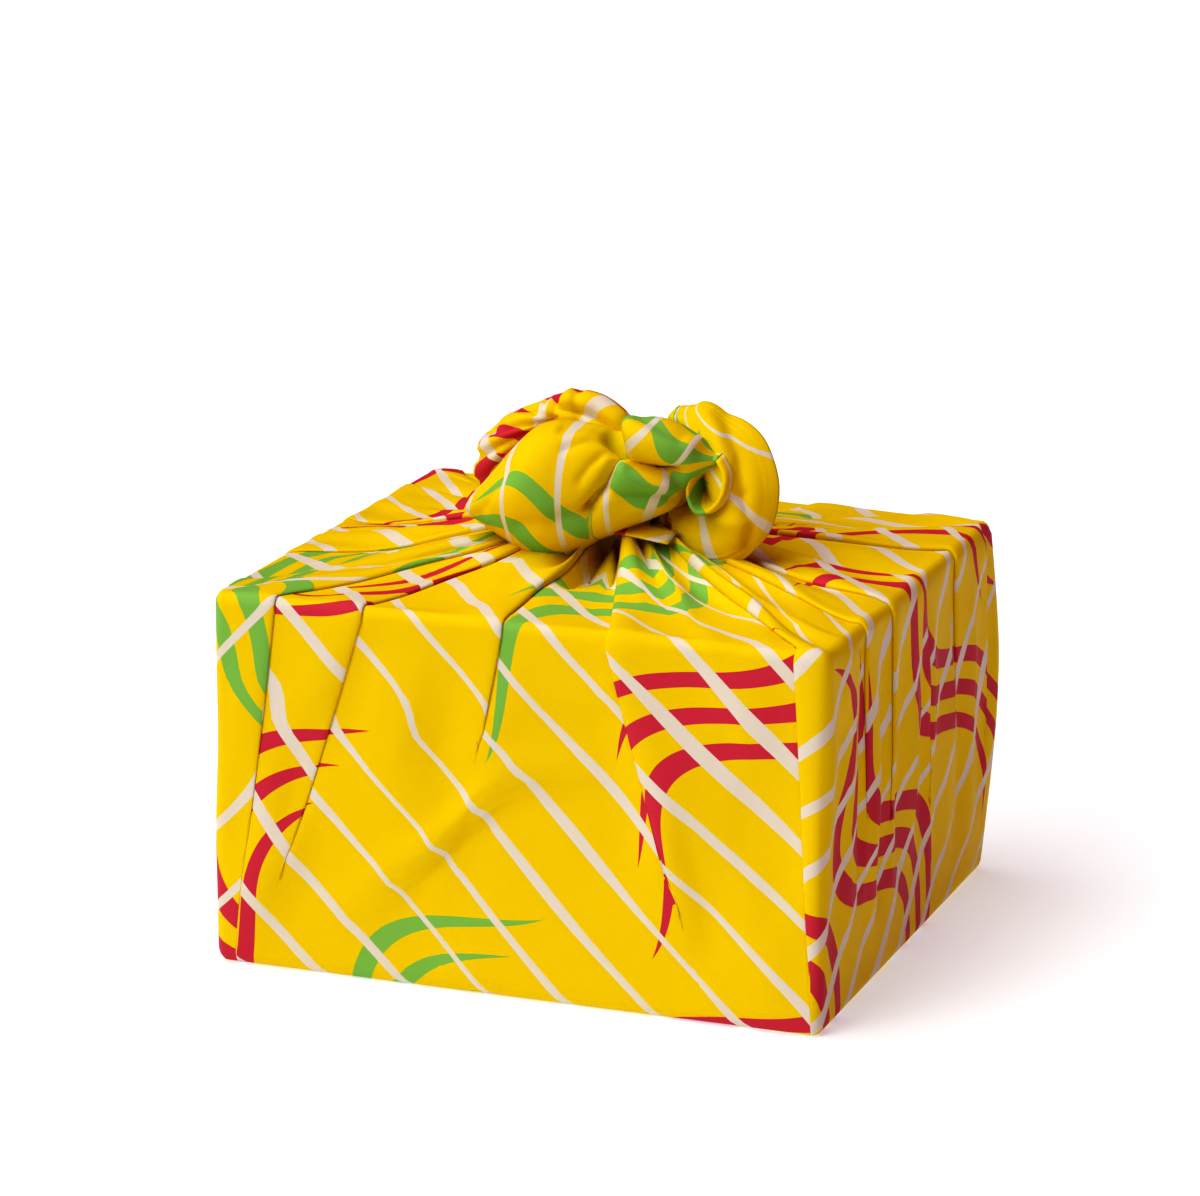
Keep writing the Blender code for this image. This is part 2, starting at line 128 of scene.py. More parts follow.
# Pleats in order round the box. edge: where it crosses the top edge, from the face's middle, going round.
# drift: how far it has moved round by the foot. lift: its height at the top edge, gather: at the neck.
# lap: 1 where the upper layer lies after the step, -1 where it lies before it, 0 for a soft ridge.
# foot: the height where it dies out. tuck: how deep the fold runs under the upper layer. flap: the corner of
# the square that the cloth after it belongs to.
PLEATS = (
    # face, edge, drift, lift, gather, lap, foot, tuck, flap
    ("front", -76, -13, 1.0, 1.4, -1, 22, 5.0, "front"),
    ("front", -48, -34, 1.1, 1.9, -1, 24, 6.0, "front"),
    ("front", -4, -20, 1.1, 3.6, -1, 78, 5.0, "front"),
    ("front", 29, 32, 1.2, 3.6, 1, 26, 7.0, "front"),
    ("front", 60, 24, 0.5, 1.9, 0, 88, 0.0, "front"),
    ("front", 86, 7, 1.5, 2.1, 1, 4, 4.0, "right"),
    ("right", -70, 0, 0.9, 1.7, 0, 92, 0.0, "right"),
    ("right", -50, 3, 1.2, 2.0, 1, 52, 4.0, "right"),
    ("right", -24, 2, 1.3, 2.2, 1, 44, 5.0, "right"),
    ("right", 7, 20, 1.6, 2.2, -1, 36, 6.0, "right"),
    ("right", 44, 8, 1.3, 2.2, 1, 38, 5.0, "right"),
    ("right", 74, 2, 1.2, 1.7, -1, 40, 4.0, "right"),
    ("back", -74, -12, 1.0, 1.8, -1, 22, 5.0, "back"),
    ("back", -40, -26, 1.1, 2.2, -1, 30, 6.0, "back"),
    ("back", -8, -8, 1.0, 2.1, -1, 74, 5.0, "back"),
    ("back", 26, 24, 1.2, 2.4, 1, 34, 6.0, "back"),
    ("back", 58, 20, 1.0, 1.9, 1, 60, 4.0, "back"),
    ("back", 84, 7, 1.0, 1.8, 1, 6, 4.0, "left"),
    ("left", -62, -6, 0.5, 2.0, 1, 50, 4.0, "left"),
    ("left", -36, -4, 0.4, 2.2, 0, 70, 0.0, "left"),
    ("left", -12, -10, 0.5, 2.4, -1, 40, 5.0, "left"),
    ("left", 10, 6, 0.5, 2.6, 1, 46, 4.0, "left"),
    ("left", 34, 6, 0.5, 2.2, -1, 58, 5.0, "left"),
    ("left", 70, 2, 0.6, 1.8, 1, 64, 4.0, "left"),
)

# Across one pleat: each column's place with the pleat open and with it shut, its share of the tuck, its share
# of the lift, and whether the layer over it hides it.
STEP_COLUMNS = (
    # open, shut, tucks, lift, hidden
    (-9.0, -9.0, 0.0, 0.0, False),
    (-5.5, -5.5, 0.0, -0.04, False),
    (-2.8, -2.6, 0.0, -0.08, False),
    (-0.4, -0.7, 0.0, -0.05, False),
    (-0.15, 1.2, 0.1, 0.0, True),
    (-0.09, 0.0, 1.0, 0.04, True),
    (-0.03, 0.3, 1.0, 0.08, True),
    (0.03, 0.0, 0.9, 0.12, True),
    (0.09, 1.0, 0.1, 0.10, True),
    (0.15, 0.2, 0.0, 0.06, True),
    (0.4, -0.45, 0.0, 0.12, False),
    (0.8, -0.50, 0.0, 0.42, False),
    (1.4, 0.0, 0.0, 0.78, False),
    (2.4, 1.4, 0.0, 0.97, False),
    (4.2, 3.6, 0.0, 1.0, False),
    (6.6, 6.3, 0.0, 0.86, False),
    (9.2, 9.2, 0.0, 0.64, False),
    (13.0, 13.0, 0.0, 0.36, False),
)
RIDGE_COLUMNS = (
    # place, lift
    (-9.0, 0.08),
    (-5.0, 0.35),
    (-2.0, 0.85),
    (0.0, 1.0),
    (2.0, 0.85),
    (5.0, 0.35),
    (9.0, 0.08),
)
CORNER_COLUMNS = (-6.0, -4.0, -2.0, 0.0, 2.0, 4.0, 6.0)
PLEAT_REACH = 13.0  # the table's last column
PLEAT_ROOM = 0.46  # the share of the way to the next pleat that a pleat may take
PLAIN_PITCH = 5.0  # between the columns of plain cloth
LEAST_PITCH = 0.8  # an added column nearer than this to a pleat's own is dropped
PLEAT_FADE = 24.0  # a pleat stands in full this far under the top
SHORTEST_FADE = 12.0
PLEAT_CLOSING = 5.0  # a pleat is shut once a fifth of it stands
UNDER_DEPTH = 0.65  # the hidden layers lie this far inside

FOOT_TURNS = (90.0, 60.0, 30.0)
WALL_ROWS = 30
EDGE_TURNS = (15.0, 30.0, 45.0, 60.0, 75.0, 90.0)
TOP_ROWS = 28
FOOT_RINGS = (0.03, 0.25, 0.6, 0.93)

# The right face's far end stands off the box over the folds tucked in there.
BULGE_AT = MIDDLES["right"] + HALF_DEPTH
BULGE_OUT = 4.0
BULGE_SPREAD = 34.0


def smooth(share):
    """Shares from 0 to 1, eased at both ends."""
    share = np.clip(share, 0.0, 1.0)
    return share * share * (3 - 2 * share)


def round_the_box(place):
    """For places round the box: points of the inset rectangle, outward directions and faces."""
    place = np.asarray(place, float) % ROUND
    starts = np.array(CORNER_PLACES)
    face = np.searchsorted(starts, place, side="right") - 1
    length = 2 * np.array(HALF_LENGTHS)[face]
    along = place - starts[face]
    corners = np.array(((-1, -1), (1, -1), (1, 1), (-1, 1), (-1, -1)), float) * (HALF_WIDTH, HALF_DEPTH)
    share = np.clip((along - EDGE_RADIUS) / (length - 2 * EDGE_RADIUS), 0, 1)
    turn = math.pi / 2 * (face - 1)
    turn = turn - math.pi / 4 * np.clip(1 - along / EDGE_RADIUS, 0, 1)
    turn = turn + math.pi / 4 * np.clip(1 - (length - along) / EDGE_RADIUS, 0, 1)
    point = corners[face] + (corners[face + 1] - corners[face]) * share[:, None]
    return point, np.stack((np.cos(turn), np.sin(turn)), axis=1), face


def along_the_wall(place, flap):
    """How far places are from the middle of a flap's own face, measured on the cloth, going round."""
    knots, values, start, cloth = [], [], 0.0, 0.0
    for half in HALF_LENGTHS:
        knots += [start + EDGE_RADIUS, start + 2 * half - EDGE_RADIUS]
        values += [cloth, cloth + 2 * half]
        start += 2 * half
        cloth += 2 * half + math.pi * EDGE_RADIUS / 2
    knots = [knots[-1] - ROUND] + knots + [knots[0] + ROUND]
    values = [values[-1] - cloth] + values + [values[0] + cloth]
    middle = np.interp(MIDDLES[flap], knots, values)
    at = np.interp(np.asarray(place, float) % ROUND, knots, values)
    return (at - middle + cloth / 2) % cloth - cloth / 2


class Fold:
    """One pleat of the table, with its columns."""

    def __init__(self, face, edge, drift, lift, gather, lap, foot, tuck, flap):
        self.place = MIDDLES[face] + edge
        self.drift, self.lift, self.gather, self.lap = drift, lift, gather, lap
        self.foot, self.tuck, self.flap = foot, tuck, flap

    def fade(self, height):
        """The share of the pleat that stands at a height on the wall."""
        return smooth((height - self.foot) / max(WRAP_HEIGHT - PLEAT_FADE - self.foot, SHORTEST_FADE))


folds = [Fold(*row) for row in PLEATS]

# Every column of the loft: its open place, how far the shutting pleat and its tuck move it, the fold it
# belongs to, its share of the fold's lift, whether it is hidden, and the panel of cloth that it is part of
# (numbered by the fold before it).
columns = []
for number, fold in enumerate(folds):
    before = (fold.place - folds[number - 1].place) % ROUND
    after = (folds[(number + 1) % len(folds)].place - fold.place) % ROUND
    side = -1 if fold.lap == -1 else 1
    beside = []
    if fold.lap == 0:
        for spot, lift in RIDGE_COLUMNS:
            room = after if spot > 0 else before
            spot *= min(1.0, PLEAT_ROOM * room / PLEAT_REACH)
            panel = number if spot >= 0 else number - 1
            columns.append((fold.place + spot, 0.0, 0.0, number, lift, False, panel % len(folds)))
            if spot > 0:
                beside.append((spot, 0.0, lift))
    else:
        for wide, shut, tucks, lift, hidden in STEP_COLUMNS:
            room = after if wide * side > 0 else before
            squeeze = side * min(1.0, PLEAT_ROOM * room / PLEAT_REACH)
            panel = number if wide * side > 0 else number - 1
            moves = ((shut - wide) * squeeze, tucks * fold.tuck * squeeze)
            columns.append((fold.place + wide * squeeze, *moves, number, lift, hidden, panel % len(folds)))
            if wide * squeeze > 0 and not hidden:
                beside.append((wide * squeeze, moves[0], lift))
    beside.sort()
    beside.append((beside[-1][0] + PLAIN_PITCH, 0.0, 0.0))
    own_spots, own_moves, own_lifts = zip(*beside)
    reach = PLEAT_REACH * min(1.0, PLEAT_ROOM * after / PLEAT_REACH)
    gap = after - 2 * reach
    spots = list(np.arange(1, int(gap / PLAIN_PITCH)) * gap / max(int(gap / PLAIN_PITCH), 1) + reach)
    for corner in CORNER_PLACES:
        near = (corner - fold.place) % ROUND
        if near < after:
            spots = [spot for spot in spots if abs(spot - near) > CORNER_COLUMNS[-1] + 1]
            spots += [near + spot for spot in CORNER_COLUMNS]
    for spot in spots:
        if min(abs(spot - own) for own in own_spots[:-1]) > LEAST_PITCH:
            move = float(np.interp(spot, own_spots, own_moves))
            lift = float(np.interp(spot, own_spots, own_lifts))
            columns.append((fold.place + spot, move, 0.0, number, lift, False, number))
columns = [(wide % ROUND, *rest) for wide, *rest in columns]
columns.sort(key=lambda column: column[0])
parts = [np.array(part) for part in zip(*columns)]
open_place, shut_move, tuck_move, fold_of, lift_of, hidden_of, panel_of = parts
fold_of = fold_of.astype(int)
panel_of = panel_of.astype(int)
hidden_of = hidden_of.astype(bool)


def drift_at(place):
    """How far places on the top edge have moved round by the foot of the wall."""
    order = sorted([(fold.place % ROUND, fold.drift) for fold in folds] + [(at, 0.0) for at in CORNER_PLACES])
    places = [at for at, _ in order]
    drifts = [drift for _, drift in order]
    return np.interp(place % ROUND, places + [ROUND], drifts + [drifts[0]])


def panel_shift(height):
    """How far the pleats have moved the print on in each panel, at a height on the wall."""
    shifts = np.zeros(len(folds))
    for flap in FACES:
        members = [number for number in range(len(folds)) if folds[number].flap == flap]
        hides = [2 * folds[number].tuck * float(folds[number].fade(height)) for number in members]
        home = int(np.argmin([(MIDDLES[flap] - folds[number].place) % ROUND for number in members]))
        for index in range(home + 1, len(members)):
            shifts[members[index]] = shifts[members[index - 1]] + hides[index]
        for index in range(home, 0, -1):
            shifts[members[index - 1]] = shifts[members[index]] - hides[index]
    return shifts


def on_the_square(flap, across, out):
    """Places on the flat square, from a flap's own across and out; the box's middle is at 0, 0."""
    half_width, half_depth = WRAP_WIDTH / 2, WRAP_DEPTH / 2
    if flap == "front":
        return np.stack((across, -half_depth - out), axis=-1)
    if flap == "right":
        return np.stack((half_width + out, across), axis=-1)
    if flap == "back":
        return np.stack((-across, half_depth + out), axis=-1)
    return np.stack((-half_width - out, -across), axis=-1)


# Soft troughs and ridges of the walls, each a line with a width and a height (a trough is below 0). Places are
# from the face's middle, going round, and heights from the foot. The first two are the long storage crease.
WALL_FOLDS = (
    # face, first place, height, last place, height, width, out
    ("front", -60, 4, 28, 96, 2.6, -2.8),
    ("front", -63, 7, 25, 99, 4.5, 3.2),
    ("front", -70, 60, -84, 14, 7.0, 3.2),
    ("front", -60, 84, -76, 40, 5.0, -2.9),
    ("front", -44, 112, -58, 74, 6.0, -2.5),
    ("front", -30, 114, -40, 60, 9.0, 2.4),
    ("front", -16, 112, -26, 70, 6.0, -2.5),
    ("front", 2, 108, -8, 72, 7.0, 2.4),
    ("front", 22, 104, 36, 56, 6.0, -2.9),
    ("front", 40, 100, 56, 40, 8.0, 2.5),
    ("front", 52, 70, 64, 26, 5.0, -2.0),
    ("front", 66, 116, 78, 84, 6.0, 2.4),
    ("front", 78, 110, 84, 40, 4.0, -0.8),
    ("front", 92, 110, 95, 20, 3.0, 0.7),
    ("right", -84, 112, -82, 22, 3.0, 0.9),
    ("right", -74, 114, -72, 30, 3.0, -1.6),
    ("right", -62, 116, -60, 20, 4.0, 2.0),
    ("right", -54, 112, -52, 34, 2.4, -2.4),
    ("right", -44, 116, -40, 18, 4.0, 2.2),
    ("right", -34, 112, -31, 24, 2.2, -2.8),
    ("right", -24, 116, -20, 30, 3.4, 2.0),
    ("right", -15, 112, -10, 20, 2.4, -2.5),
    ("right", -4, 116, 2, 16, 4.2, 2.4),
    ("right", 6, 108, 14, 34, 2.2, -2.8),
    ("right", 16, 114, 22, 24, 3.4, 2.0),
    ("right", 24, 108, 32, 22, 2.4, -2.4),
    ("right", 34, 114, 40, 20, 4.0, 2.2),
    ("right", 46, 108, 52, 30, 2.6, -2.5),
    ("right", 58, 114, 62, 18, 4.0, 1.9),
    ("right", 70, 108, 72, 26, 2.8, -2.0),
    ("right", 82, 110, 82, 30, 3.0, 0.9),
    ("right", -70, 20, 60, 12, 9.0, 0.4),
    ("back", -50, 100, -64, 40, 7.0, 2.2),
    ("back", -28, 108, -36, 50, 6.0, -2.0),
    ("back", 6, 108, 4, 60, 8.0, 1.8),
    ("back", 36, 108, 48, 50, 7.0, -2.0),
    ("back", 70, 104, 76, 30, 7.0, 2.0),
    ("back", -40, 20, 40, 84, 1.8, -0.8),
    ("left", -76, 108, -78, 30, 6.0, 0.9),
    ("left", -50, 108, -52, 30, 6.0, -1.0),
    ("left", -24, 106, -30, 30, 7.0, 1.0),
    ("left", 0, 106, 0, 44, 6.0, 1.0),
    ("left", 24, 106, 26, 36, 6.0, -1.0),
    ("left", 52, 108, 54, 24, 8.0, 1.0),
)
SWELLS = (
    # how many round the box, how many up, start, height
    (9, 0.7, 0.4, 0.65),
    (17, -1.1, 2.1, 0.42),
    (31, 1.6, 4.0, 0.22),
    (47, -2.3, 1.2, 0.12),
)


TROUGH_LIMIT = 1.3  # the folded corners lie close behind the walls
TOP_SWELLS = 1.4  # the swells' height on the gathers, to one on the walls
GATHER_FADE = 0.3  # the share of the way in over which a hollow of the gathers starts or ends


def wall_relief(moved, height):
    """How far the cloth stands off the wall at places of one height."""
    out = np.zeros_like(moved)
    ends = np.sin(np.pi * np.clip(height / WRAP_HEIGHT, 0, 1)) ** 0.5
    for face, place_a, height_a, place_b, height_b, width, depth in WALL_FOLDS:
        at = (moved - MIDDLES[face] + ROUND / 2) % ROUND - ROUND / 2
        run = np.array((place_b - place_a, height_b - height_a), float)
        share = ((at - place_a) * run[0] + (height - height_a) * run[1]) / (run @ run)
        kept = np.clip(share, 0, 1)
        away = np.hypot(at - place_a - kept * run[0], height - height_a - kept * run[1])
        fuller = 0.35 + 0.65 * np.sin(np.pi * np.clip(share, 0.02, 0.98))
        out += depth * np.exp(-((away / width) ** 2)) * fuller
    for turns, rises, start, depth in SWELLS:
        out += depth * np.sin(2 * np.pi * (turns * moved / ROUND + rises * height / WRAP_HEIGHT) + start)
    out = np.where(out < 0, TROUGH_LIMIT * np.tanh(out / TROUGH_LIMIT), out)
    return out * ends


# Hollows and swells of the gathers, each along the cloth's way in to the neck. The place is where that way
# crosses the top edge; shares run from the edge, 0, to the neck, 1.
TOP_FOLDS = (
    # face, edge, first share, last share, width, out
    ("front", -62, 0.0, 0.9, 7.0, 0.9),
    ("front", -26, 0.1, 1.0, 9.0, 1.2),
    ("front", -11, 0.5, 1.0, 5.0, -6.5),
    ("front", 5, 0.40, 1.0, 5.5, -9.5),
    ("front", 15, 0.30, 1.0, 3.6, 2.0),
    ("front", 24, 0.45, 1.0, 4.0, -9.0),
    ("front", 40, 0.3, 1.0, 7.0, 2.5),
    ("front", 51, 0.1, 1.0, 4.0, -1.6),
    ("front", 74, 0.0, 0.9, 5.0, -1.2),
    ("front", 92, 0.1, 1.0, 7.0, 2.6),
    ("right", -78, 0.0, 0.8, 4.0, -1.2),
    ("right", -60, 0.1, 0.9, 4.0, -1.0),
    ("right", -37, 0.0, 0.9, 6.0, 1.0),
    ("right", -10, 0.1, 1.0, 7.0, 1.3),
    ("right", 27, 0.0, 0.9, 8.0, 1.3),
    ("right", 60, 0.1, 0.9, 6.0, 1.0),
    ("back", -58, 0.0, 0.9, 8.0, 1.0),
    ("back", -22, 0.1, 1.0, 7.0, 1.4),
    ("back", 8, 0.3, 1.0, 6.0, -2.2),
    ("back", 42, 0.1, 1.0, 8.0, 1.2),
    ("back", 72, 0.1, 0.9, 5.0, -1.0),
    ("left", -50, 0.1, 0.9, 6.0, 0.9),
    ("left", -24, 0.2, 1.0, 5.0, -1.2),
    ("left", 22, 0.2, 1.0, 6.0, 1.0),
    ("left", 52, 0.1, 0.9, 8.0, 1.0),
)


def top_relief(place, share):
    """How far the cloth stands off the gathers' smooth shape at a share of the way in to the neck."""
    out = np.zeros_like(place)
    for face, edge, first, last, width, depth in TOP_FOLDS:
        at = (place - MIDDLES[face] - edge + ROUND / 2) % ROUND - ROUND / 2
        rise = float(smooth((share - first) / GATHER_FADE))
        fall = 1.0 if last == 1.0 else float(smooth((last - share) / GATHER_FADE))
        out += depth * rise * fall * np.exp(-((at / width) ** 2))
    for turns, rises, start, depth in SWELLS:
        wave = np.sin(2 * np.pi * (turns * place / ROUND + rises * share) + start)
        out += TOP_SWELLS * depth * wave * math.sin(math.pi * min(share + 0.15, 1.0))
    return out


def print_of(moved, height, up, inward_steps=None):
    """Where one row lies on the flat square; inward_steps say how far it has gone in over the top."""
    shifts = panel_shift(height)
    square = np.zeros((len(moved), 2))
    for number, fold in enumerate(folds):
        mine = (panel_of == number) & ~hidden_of
        across = along_the_wall(moved[mine], fold.flap) + shifts[number]
        out = np.full(across.shape, up)
        if inward_steps is not None:
            after = (folds[(number + 1) % len(folds)].place - fold.place) % ROUND
            centre_point, centre_out, centre_face = round_the_box([fold.place + after / 2])
            path = NECK - centre_point[0] - centre_out[0] * CORNER_START
            tangent, inwards = FACE_ALONG[centre_face[0]], FACE_INWARD[centre_face[0]]
            turn = math.atan2(path @ tangent, path @ inwards) * (1 - KEPT_SLANT)
            aside, inward = inward_steps[mine] @ tangent, inward_steps[mine] @ inwards
            across = across + aside * math.cos(turn) - inward * math.sin(turn)
            out = out + aside * math.sin(turn) + inward * math.cos(turn)
        square[mine] = on_the_square(fold.flap, across, out)
    seen = np.flatnonzero(~hidden_of)
    spread = np.append(seen, seen[0] + len(moved))
    for axis in range(2):
        known = np.append(square[seen, axis], square[seen[0], axis])
        square[:, axis] = np.interp(np.arange(len(moved)), spread, known)
    return square


def wrap_ring(kind, value):
    """One row of the loft, by its kind and its turn, height or share: its points and their print."""
    height = {"foot": EDGE_RADIUS, "wall": value}.get(kind, WRAP_HEIGHT)
    fades = np.array([float(fold.fade(height)) for fold in folds])[fold_of]
    lifts = np.array([fold.lift for fold in folds])[fold_of]
    gathers = np.array([fold.gather for fold in folds])[fold_of]
    shut = smooth(fades * PLEAT_CLOSING)
    place = open_place + shut_move * shut + tuck_move * fades
    if kind == "top":
        stand = (lifts + (gathers - lifts) * value) * lift_of + top_relief(place, value)
    elif kind == "neck":
        stand = gathers * lift_of
    else:
        stand = lifts * lift_of * fades
    down_wall = 1 - (value - EDGE_RADIUS) / (WRAP_HEIGHT - 2 * EDGE_RADIUS)
    moved = place + drift_at(place) * {"foot": 1.0, "wall": down_wall}.get(kind, 0.0)
    if kind == "wall":
        stand = stand + wall_relief(moved, value)
    stand = stand - UNDER_DEPTH * hidden_of * shut
    point, outward, _ = round_the_box(moved)
    turned = EDGE_RADIUS - CORNER_START
    inward_steps = None
    if kind == "foot":
        turn = math.radians(value)
        flat = point + outward * (CORNER_START + (turned + stand) * math.cos(turn))[:, None]
        level = np.full(len(place), EDGE_RADIUS * (1 - math.sin(turn)))
        up = EDGE_RADIUS - EDGE_RADIUS * turn
    elif kind == "wall":
        near = (moved - BULGE_AT + ROUND / 2) % ROUND - ROUND / 2
        bulge = BULGE_OUT * np.exp(-((near / BULGE_SPREAD) ** 2))
        stand = stand + bulge * math.sin(math.pi * value / WRAP_HEIGHT)
        flat = point + outward * (EDGE_RADIUS + stand)[:, None]
        level = np.full(len(place), value)
        up = value
    elif kind == "edge":
        turn = math.radians(value)
        flat = point + outward * (CORNER_START + (turned + stand) * math.cos(turn))[:, None]
        level = WRAP_HEIGHT - EDGE_RADIUS + (EDGE_RADIUS + stand) * math.sin(turn)
        up = WRAP_HEIGHT - EDGE_RADIUS + EDGE_RADIUS * turn
    else:
        toward = point + outward * EDGE_RADIUS - NECK
        toward /= np.linalg.norm(toward, axis=1)[:, None]
        ring = NECK + toward * NECK_RADII
        start = point + outward * CORNER_START
        share = value if kind == "top" else 1.0
        flat = start + (ring - start) * share
        if kind == "top":
            level = WRAP_HEIGHT + NECK_RISE * value**TENT + stand
        else:
            level = np.full(len(place), WRAP_HEIGHT + NECK_RISE + value)
            flat = flat + toward * (stand * NECK_KEEPS)[:, None]
        inward_steps = flat - start
        up = WRAP_HEIGHT - EDGE_RADIUS + EDGE_RADIUS * math.pi / 2
    return np.column_stack((flat, level)), print_of(moved, height, up, inward_steps)


rows = [("foot", turn) for turn in FOOT_TURNS]
rows += [("wall", height) for height in np.linspace(EDGE_RADIUS, WRAP_HEIGHT - EDGE_RADIUS, WALL_ROWS)]
rows += [("edge", turn) for turn in EDGE_TURNS]
rows += [("top", share) for share in np.linspace(0, 1, TOP_ROWS + 1)[1:]]
rows += [("neck", NECK_COLLAR * 0.5), ("neck", NECK_COLLAR)]

sheet_points, sheet_square, sheet_faces = [], [], []


def add_grid(points, square, closed=False):
    """Add a grid of points to the cloth, with its places on the flat square."""
    count, width = points.shape[:2]
    first = sum(len(part) for part in sheet_points)
    sheet_points.append(points.reshape(-1, 3))
    sheet_square.append(square.reshape(-1, 2))
    numbers = first + np.arange(count * width).reshape(count, width)
    if closed:
        numbers = np.column_stack((numbers, numbers[:, :1]))
    quads = np.stack((numbers[:-1, :-1], numbers[:-1, 1:], numbers[1:, 1:], numbers[1:, :-1]), axis=-1)
    sheet_faces.extend(quads.reshape(-1, 4).tolist())
    return numbers


rings = [wrap_ring(*row) for row in rows]
foot_points = rings[0][0]
under = []
for share in reversed(FOOT_RINGS):
    points = foot_points.copy()
    points[:, :2] *= 1 - share
    under.append((points, points[:, :2]))
rings[0] = (foot_points, foot_points[:, :2])
wrap_points = np.array([points for points, _ in under + rings])
wrap_square = np.array([square for _, square in under + rings])
wrap_numbers = add_grid(wrap_points, wrap_square, closed=True)
sheet_faces.append(wrap_numbers[0][:-1][::-1].tolist())

# The front and back corners of the square, laid over the lid under the gathers, with shallow ripples.
LID_GRID = (16, 14)
LID_FLAPS = (
    # level, near y, far y, half width, flap
    (118.0, -88.0, 78.0, 94.0, "front"),
    (118.9, 88.0, -78.0, 94.0, "back"),
)
for level, near, far, half, flap in LID_FLAPS:
    across, along = np.meshgrid(np.linspace(-half, half, LID_GRID[0]), np.linspace(near, far, LID_GRID[1]))
    ripple = 0.12 * np.sin(across / 11 + along / 17) + 0.1 * np.sin(along / 9 - across / 23)
    reach = WRAP_HEIGHT + np.abs(along - near)
    side = 1 if flap == "front" else -1
    grid = np.stack((across, along, level + ripple), axis=-1)
    add_grid(grid, on_the_square(flap, across * side, reach))

# The square's surplus at each upright edge, folded flat in two layers behind the front and back panels.
TUCK_GRID = (8, 10)
TUCK_RISE = (5.0, 115.0)
CORNER_TUCKS = (
    # y, from x, to x, flap
    (-89.5, 97.0, 9.0, "right"),
    (-88.95, 95.0, 11.0, "front"),
    (-89.5, -97.0, -9.0, "left"),
    (-88.95, -95.0, -11.0, "front"),
    (89.5, 97.0, 9.0, "right"),
    (88.95, 95.0, 11.0, "back"),
    (89.5, -97.0, -9.0, "left"),
    (88.95, -95.0, -11.0, "back"),
)
for depth, near, far, flap in CORNER_TUCKS:
    across, up = np.meshgrid(np.linspace(near, far, TUCK_GRID[0]), np.linspace(*TUCK_RISE, TUCK_GRID[1]))
    ripple = 0.05 * np.sin(across / 9 + up / 14)
    grid = np.stack((across, depth + ripple, up), axis=-1)
    add_grid(grid, on_the_square(flap, across, up))


# ---------------------------------------------------------------------------------------------------------
# The knot. The two wings' ends are tied in a square knot: one bight is a wide band in front that opens into
# the left ear, the other goes round behind and opens into the right ear. Each is a sheet bent by a table.

FRONT_BIGHT = (
    # x, front y, back y, top z, low z, first turn, last turn
    (40.5, -18, -11, 159.6, 158.4, 200, -150),
    (38.5, -20, -10, 160.4, 157.0, 199, -148),
    (36, -22, -9, 162.0, 155.4, 198, -145),
    (33, -24, -8, 164.2, 152.6, 196, -140),
    (30, -26, -7, 166.4, 148.6, 193, -132),
    (25.5, -29, -6, 169.0, 143.6, 188, -124),
    (19, -31.5, -6, 170.4, 139.4, 184, -114),
    (13, -33.5, -6, 169.2, 136.4, 181, -108),
    (9.5, -34.5, -6, 167.0, 134.4, 179, -104),
    (6.5, -35.5, -6, 165.4, 133.0, 178, -102),
    (3, -37, -6, 166.4, 131.6, 176, -98),
    (-1, -38.5, -6, 167.4, 128.6, 175, -95),
    (-6, -40, -6, 167.9, 125.2, 173, -90),
    (-10.5, -41.5, -6, 167.9, 122.6, 172, -82),
    (-16, -42, -5, 166.4, 124.2, 170, -74),
    (-20, -41.5, -5, 163.6, 126.2, 169, -68),
    (-25, -39.5, -4, 158.8, 128.6, 168, -62),
    (-29.5, -37, -4, 153.6, 130.8, 167, -56),
    (-34, -34, -4, 148.4, 133.2, 166, -50),
    (-37.5, -31, -4, 144.6, 134.6, 165, -44),
    (-39.5, -28.5, -5, 142.4, 135.6, 164, -40),
)
BACK_BIGHT = (
    # x, y, z, wide, deep
    (-6, 3, 136, 9, 9),
    (-26, 4, 135, 9, 8.5),
    (-40, 4, 140, 8.5, 8.5),
    (-42, 5, 149, 7.5, 8.5),
    (-36, 6, 156, 7, 8.5),
    (-27, 7, 160.5, 7, 9),
    (-18, 7, 163, 8.5, 9),
    (-9, 6, 163, 8, 8.5),
    (-1, 3, 159, 7.5, 8.5),
    (6, 0, 152, 7, 8),
)

